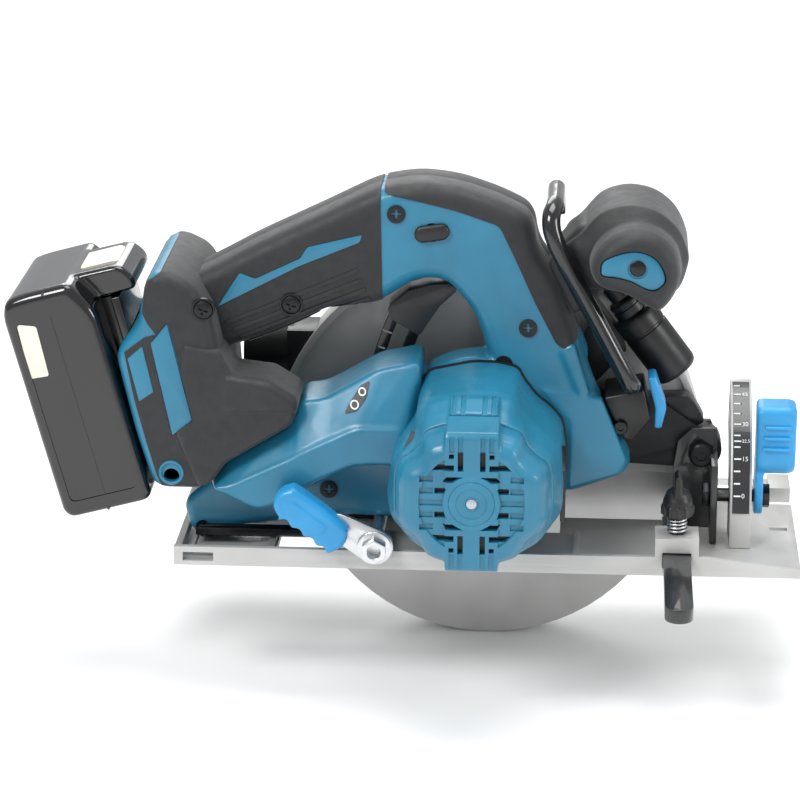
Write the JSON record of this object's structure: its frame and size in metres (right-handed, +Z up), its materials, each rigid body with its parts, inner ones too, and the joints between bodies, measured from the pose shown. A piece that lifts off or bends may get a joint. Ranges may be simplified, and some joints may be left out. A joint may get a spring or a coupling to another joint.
{
  "type": "circular saw",
  "caption": "Cordless left-blade circular saw with tilting base, depth guide, spring lower guard, slide battery and rafter hook.",
  "frame": {"origin": "on the sole plane, on the cut line, straight below the blade's arbor", "axes": "+X cutting direction, +Y blade side, +Z up from the sole"},
  "size_m": [0.3478, 0.188, 0.2278],
  "materials": {
    "cast_alu": "fine cast texture, satin grey paint",
    "guard_metal": "satin grey paint",
    "black_steel": "black oxide, satin",
    "bright_steel": "zinc plated",
    "dark_steel": "black oxide",
    "blade_steel": "ground steel",
    "gear_steel": "machined",
    "gear_cast": "black painted casting",
    "shell_blue": "fine spark-eroded grain",
    "shell_dark": "fine spark-eroded grain",
    "grip_rubber": "soft elastomer, leather grain",
    "lever_blue": "satin moulded",
    "black_plastic": "satin black",
    "battery_black": "polished black",
    "cream": "satin cream",
    "hook_black": "gloss black paint",
    "core_iron": "laminated",
    "copper": "enamelled copper",
    "board": "potted circuit board",
    "wire": "insulated leads"
  },
  "bodies": {
    "base": {"base_plate": "cast_alu", "bevel_quadrant": "cast_alu", "bevel_scale": "black_steel", "bevel_pins": "bright_steel", "fence_spring": "bright_steel"},
    "tilt_frame": {"front_bracket": "black_steel", "depth_pivot_bolt": "dark_steel", "rear_bracket": "black_steel", "depth_guide": "black_steel"},
    "head": {"blade_case": "cast_alu", "dust_nozzle": "black_plastic", "gear_housing": "gear_cast", "gear_cover": "gear_cast", "ball_bearings": "bright_steel", "motor_housing": "shell_blue", "motor_cover": "shell_blue", "stator": "core_iron", "stator_coils": "copper", "right_shell": "shell_blue", "left_shell": "shell_dark", "grip_right": "grip_rubber", "grip_left": "grip_rubber", "grip_inlay": "shell_blue", "front_grip": "grip_rubber", "grip_insert": "shell_blue", "lamp": "black_plastic", "lamp_bracket": "gear_cast", "lock_bracket": "black_plastic", "guard_spring": "bright_steel", "trigger_switch": "black_plastic", "controller": "board", "terminal_block": "black_plastic", "depth_lock_bolt": "bright_steel", "case_screws": "dark_steel", "lead_wires": "wire"},
    "fence": {"rip_fence": "black_steel"},
    "fence_knob": {"fence_screw": "black_plastic"},
    "bevel_clamp": {"bevel_lever": "lever_blue", "bevel_bolt": "dark_steel"},
    "lock_button": {"shaft_lock": "lever_blue"},
    "guard": {"lower_guard": "guard_metal", "guard_lever": "lever_blue"},
    "spindle": {"blade": "blade_steel", "inner_flange": "dark_steel", "outer_flange": "dark_steel", "blade_bolt": "dark_steel", "spindle_shaft": "gear_steel", "blade_gear": "gear_steel"},
    "rotor": {"rotor_shaft": "gear_steel", "rotor_core": "core_iron", "fan": "black_plastic"},
    "trigger": {"trigger": "black_plastic"},
    "lock_off": {"lock_off": "black_plastic"},
    "battery": {"battery_body": "battery_black"},
    "release": {"battery_button": "cream"},
    "hook": {"hook": "hook_black"},
    "wrench": {"hex_wrench": "dark_steel"},
    "depth_clamp": {"depth_lever": "bright_steel", "depth_lever_grip": "lever_blue", "depth_nut": "bright_steel"}
  },
  "joints": [
    {"name": "bevel_tilt", "type": "hinge", "parent": "base", "child": "tilt_frame", "pos_m": [0, 0, 0.0085], "axis": [-1, 0, 0], "range_deg": [0, 50]},
    {"name": "depth_swing", "type": "hinge", "parent": "tilt_frame", "child": "head", "pos_m": [0.0965, -0.026, 0.039], "axis": [0, 1, 0], "range_deg": [0, 33]},
    {"name": "blade_spin", "type": "hinge", "parent": "head", "child": "spindle", "pos_m": [0, 0, 0.0255], "axis": [0, 1, 0], "continuous": true},
    {"name": "rotor_spin", "type": "hinge", "parent": "head", "child": "rotor", "pos_m": [-0.002, -0.08, 0.04964], "axis": [0, 1, 0], "continuous": true},
    {"name": "guard_swing", "type": "hinge", "parent": "head", "child": "guard", "pos_m": [0, 0, 0.0255], "axis": [0, 1, 0], "range_deg": [0, 120], "stiffness_Nm_per_rad": 0.15, "springref_deg": -68.75},
    {"name": "trigger_pull", "type": "hinge", "parent": "head", "child": "trigger", "pos_m": [-0.0145, -0.046, 0.118], "axis": [0, 1, 0], "range_deg": [0, 7], "stiffness_Nm_per_rad": 0.6, "springref_deg": -8.59},
    {"name": "lock_off_press", "type": "slide", "parent": "head", "child": "lock_off", "axis": [0, 1, 0], "range_m": [0, 0.003], "stiffness_N_per_m": 400, "springref_m": -0.002},
    {"name": "battery_slide", "type": "slide", "parent": "head", "child": "battery", "axis": [-0.2588, 0, 0.9659], "range_m": [0, 0.09]},
    {"name": "release_press", "type": "slide", "parent": "battery", "child": "release", "axis": [0.2588, 0, -0.9659], "range_m": [0, 0.003], "stiffness_N_per_m": 400, "springref_m": -0.002},
    {"name": "hook_swing", "type": "hinge", "parent": "head", "child": "hook", "pos_m": [0.0645, -0.0625, 0.078], "axis": [1, 0, 0], "range_deg": [0, 80]},
    {"name": "lock_button_press", "type": "slide", "parent": "head", "child": "lock_button", "axis": [-1, 0, 0], "range_m": [0, 0.002], "stiffness_N_per_m": 500, "springref_m": -0.002},
    {"name": "depth_clamp_turn", "type": "hinge", "parent": "head", "child": "depth_clamp", "pos_m": [-0.04596, -0.095, 0.012], "axis": [0, 1, 0], "range_deg": [0, 50]},
    {"name": "wrench_pull", "type": "slide", "parent": "head", "child": "wrench", "axis": [0, -1, 0], "range_m": [0, 0.012]},
    {"name": "bevel_clamp_turn", "type": "hinge", "parent": "tilt_frame", "child": "bevel_clamp", "pos_m": [0.121, -0.04782, 0.02312], "axis": [1, 0, 0], "range_deg": [0, 60]},
    {"name": "fence_slide", "type": "slide", "parent": "base", "child": "fence", "axis": [0, -1, 0], "range_m": [0, 0.028]},
    {"name": "fence_knob_turn", "type": "hinge", "parent": "base", "child": "fence_knob", "pos_m": [0.0855, -0.0815, 0.02], "axis": [0, 0, 1], "range_deg": [0, 360]}
  ],
  "couplings": [
    {"joint": "rotor_spin", "follows": "blade_spin", "ratio": -4.1}
  ]
}
